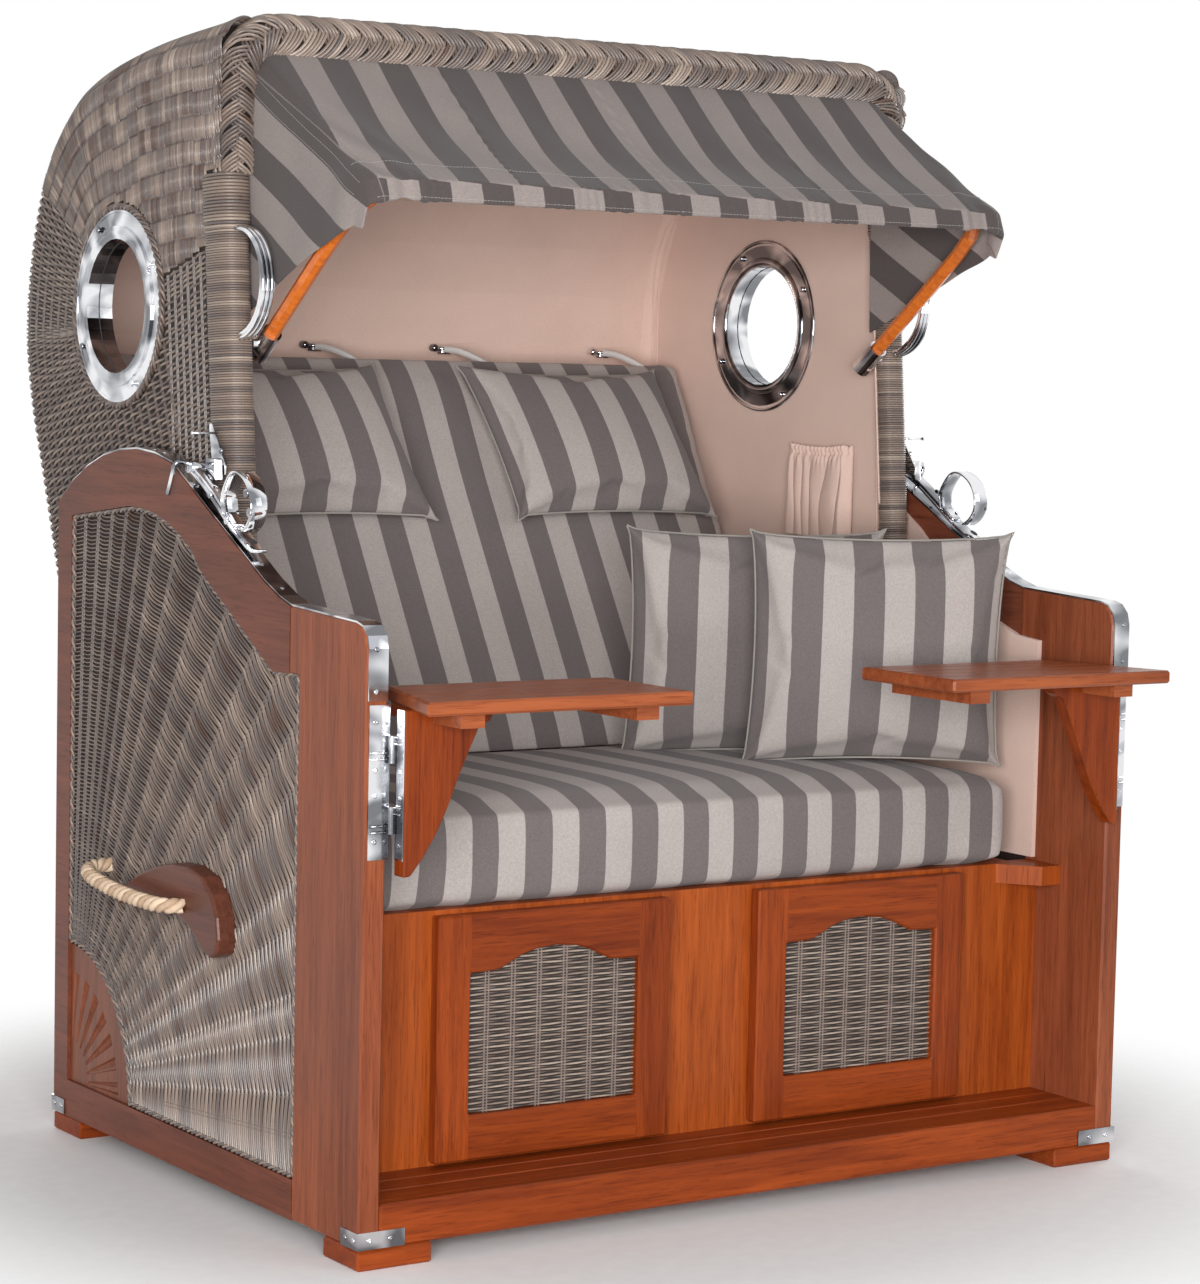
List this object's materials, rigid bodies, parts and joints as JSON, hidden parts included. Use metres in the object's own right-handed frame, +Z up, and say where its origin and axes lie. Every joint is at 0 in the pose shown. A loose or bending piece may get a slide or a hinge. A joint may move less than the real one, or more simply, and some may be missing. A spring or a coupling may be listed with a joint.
{
  "type": "hooded beach chair",
  "caption": "Two-seat hooded beach chair: wooden base with wicker sides, reclining wicker hood with portholes, canopy, cushions, folding tables and footrests.",
  "frame": {"origin": "on the ground under the middle of the whole object", "axes": "+X to the viewer's right as one faces the seat, +Y towards the back, +Z up"},
  "size_m": [1.376, 1.265, 1.59],
  "materials": {
    "mahogany": "oiled mahogany, satin",
    "dark_mahogany": "dark oiled mahogany, satin",
    "wicker": "woven weatherproof wicker, brown grey",
    "chrome": "polished",
    "steel": "brushed",
    "lining_cloth": "woven, warm beige",
    "cushion_cloth": "woven in stripes",
    "canopy_cloth": "woven in stripes",
    "rope_fibre": "twisted rope",
    "orange_lacquer": "orange lacquered wood, satin"
  },
  "bodies": {
    "base": {"front_board": "mahogany", "floor_board": "mahogany", "front_panel": "mahogany", "seat_carcase": "mahogany", "rear_panel": "mahogany", "seat_cushion": "cushion_cloth", "front_throw_pillow": "cushion_cloth", "rear_throw_pillow": "cushion_cloth", "left_front_stile": "dark_mahogany", "right_front_stile": "dark_mahogany", "left_side_frame": "dark_mahogany", "right_side_frame": "dark_mahogany", "left_side_wicker": "wicker", "right_side_wicker": "wicker", "left_fan_block": "dark_mahogany", "right_fan_block": "dark_mahogany", "left_side_lining": "lining_cloth", "right_side_lining": "lining_cloth", "left_edge_strip": "chrome", "right_edge_strip": "chrome", "left_table_hinge": "chrome", "right_table_hinge": "chrome", "left_carry_handle": "dark_mahogany", "right_carry_handle": "dark_mahogany", "left_carry_rope": "rope_fibre", "right_carry_rope": "rope_fibre", "left_front_foot": "mahogany", "right_front_foot": "mahogany", "left_rear_foot": "mahogany", "right_rear_foot": "mahogany", "left_front_bracket": "chrome", "right_front_bracket": "chrome", "left_rear_bracket": "chrome", "right_rear_bracket": "chrome", "left_pivot_pin": "steel", "right_pivot_pin": "steel"},
    "hood": {"hood_shell": "wicker", "hood_lining": "lining_cloth", "lining_pocket": "lining_cloth", "back_cushion": "cushion_cloth", "canopy": "canopy_cloth", "left_porthole": "chrome", "right_porthole": "chrome", "left_hood_grip": "chrome", "right_hood_grip": "chrome", "left_neck_pillow": "cushion_cloth", "right_neck_pillow": "cushion_cloth"},
    "canopy_bow": {"canopy_bow": "orange_lacquer", "left_bow_ferrule": "chrome", "right_bow_ferrule": "chrome"},
    "left_table": {"left_table_top": "mahogany", "left_table_gusset": "mahogany"},
    "right_table": {"right_table_top": "mahogany", "right_table_gusset": "mahogany"},
    "left_footrest": {"left_footrest": "mahogany", "left_footrest_inlay": "wicker"},
    "right_footrest": {"right_footrest": "mahogany", "right_footrest_inlay": "wicker"},
    "left_lever": {"left_lift_lever": "chrome"},
    "right_lever": {"right_lift_lever": "chrome"}
  },
  "joints": [
    {"name": "hood_recline", "type": "hinge", "parent": "base", "child": "hood", "pos_m": [0, 0.1365, 0.587], "axis": [-1, 0, 0], "range_deg": [0, 38]},
    {"name": "bow_fold", "type": "hinge", "parent": "hood", "child": "canopy_bow", "pos_m": [0, -0.0405, 1.15], "axis": [1, 0, 0], "range_deg": [-35, 15], "deforming": ["canopy"]},
    {"name": "left_table_fold", "type": "hinge", "parent": "base", "child": "left_table", "pos_m": [-0.5915, -0.5267, 0.6], "axis": [0, 0, 1], "range_deg": [-90, 0]},
    {"name": "right_table_fold", "type": "hinge", "parent": "base", "child": "right_table", "pos_m": [0.5915, -0.5267, 0.6], "axis": [0, 0, 1], "range_deg": [0, 90]},
    {"name": "left_footrest_slide", "type": "slide", "parent": "base", "child": "left_footrest", "axis": [0, -1, 0], "range_m": [0, 0.35]},
    {"name": "right_footrest_slide", "type": "slide", "parent": "base", "child": "right_footrest", "axis": [0, -1, 0], "range_m": [0, 0.35]},
    {"name": "left_lever_lift", "type": "hinge", "parent": "hood", "child": "left_lever", "pos_m": [-0.6095, -0.02209, 0.9824], "axis": [-1, 0, 0], "range_deg": [0, 60]},
    {"name": "right_lever_lift", "type": "hinge", "parent": "hood", "child": "right_lever", "pos_m": [0.6095, -0.02209, 0.9824], "axis": [-1, 0, 0], "range_deg": [0, 60]}
  ]
}
